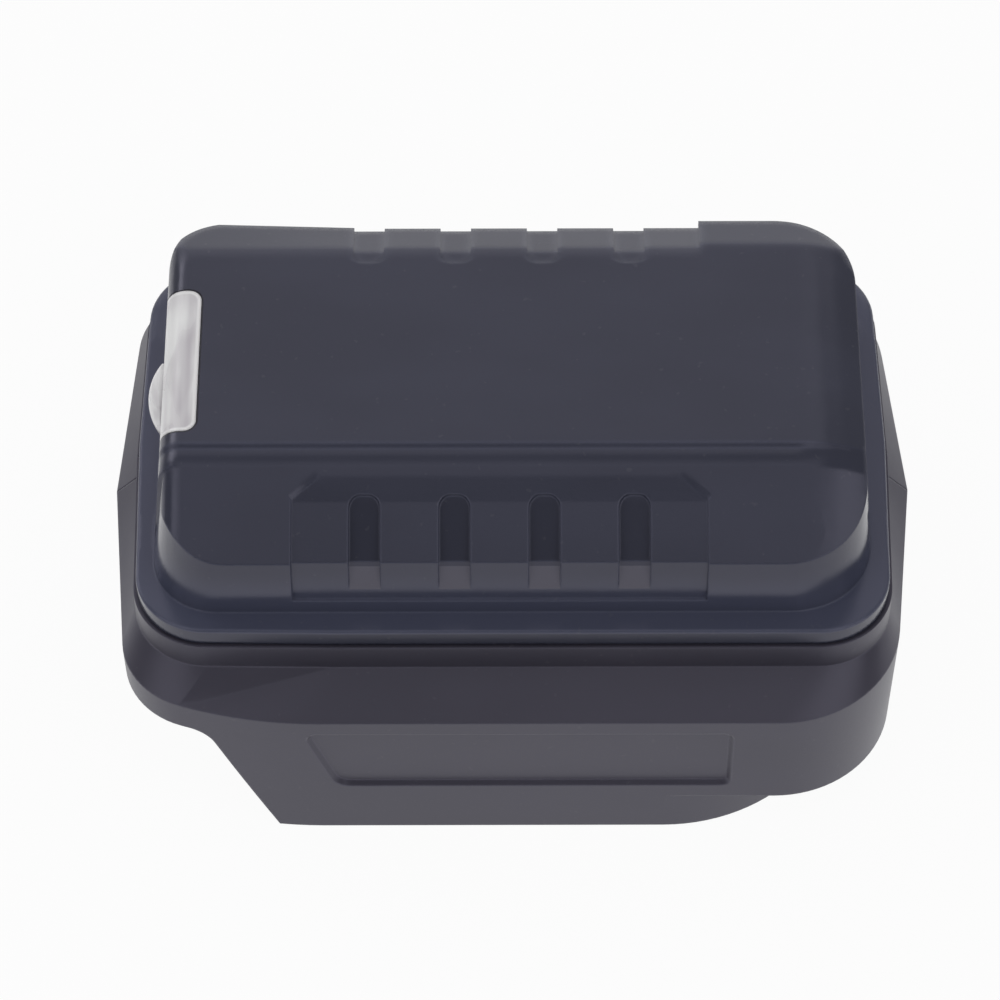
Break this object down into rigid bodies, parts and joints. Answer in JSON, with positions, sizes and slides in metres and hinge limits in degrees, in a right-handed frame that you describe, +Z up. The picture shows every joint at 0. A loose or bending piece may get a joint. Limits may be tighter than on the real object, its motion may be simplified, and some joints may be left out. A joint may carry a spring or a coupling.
{
  "type": "usb battery adapter",
  "caption": "USB adapter that slides onto a power tool battery, with a drafted top cover, a lamp lens, USB sockets and a power button",
  "frame": {"origin": "middle of the footprint, on the surface that the skirts stand on", "axes": "+X long axis towards the USB sockets, +Y rear, +Z up"},
  "size_m": [0.118, 0.0844, 0.057],
  "materials": {
    "cover_plastic": "fine satin grain",
    "housing_plastic": "fine matte grain",
    "lens_clear": "frosted inside, clear outside",
    "reflector_coat": "vacuum coated",
    "board_green": "solder mask",
    "led_body": "moulded",
    "shell_steel": "nickel plated sheet",
    "tongue_plastic": "moulded",
    "contact_metal": "plated",
    "button_plastic": "satin",
    "dark_plastic": "moulded",
    "lead_red_skin": "extruded",
    "lead_black_skin": "extruded",
    "coil_ferrite": "pressed ferrite",
    "capacitor_sleeve": "shrunk sleeve",
    "chip_plastic": "moulded",
    "screw_steel": "zinc plated"
  },
  "bodies": {
    "adapter": {"top_cover": "cover_plastic", "lamp_lens": "lens_clear", "housing_front": "housing_plastic", "housing_rear": "housing_plastic", "lamp_reflector": "reflector_coat", "lamp_board": "board_green", "lamp_leds": "led_body", "lamp_leads": "lead_black_skin", "main_board": "board_green", "usb_shell_front": "shell_steel", "usb_shell_rear": "shell_steel", "usb_tongues": "tongue_plastic", "usb_contacts": "contact_metal", "switch_body": "dark_plastic", "charge_light": "lens_clear", "charge_led": "led_body", "terminal_block": "dark_plastic", "contact_blades": "contact_metal", "lead_red": "lead_red_skin", "lead_black": "lead_black_skin", "coil": "coil_ferrite", "capacitors": "capacitor_sleeve", "controller_chips": "chip_plastic", "side_screws": "screw_steel", "cover_screws": "screw_steel", "board_screws": "screw_steel"},
    "button": {"power_button": "button_plastic", "switch_plunger": "tongue_plastic"}
  },
  "joints": [
    {"name": "button_press", "type": "slide", "parent": "adapter", "child": "button", "axis": [-1, 0, 0], "range_m": [0, 0.0008], "stiffness_N_per_m": 400}
  ]
}
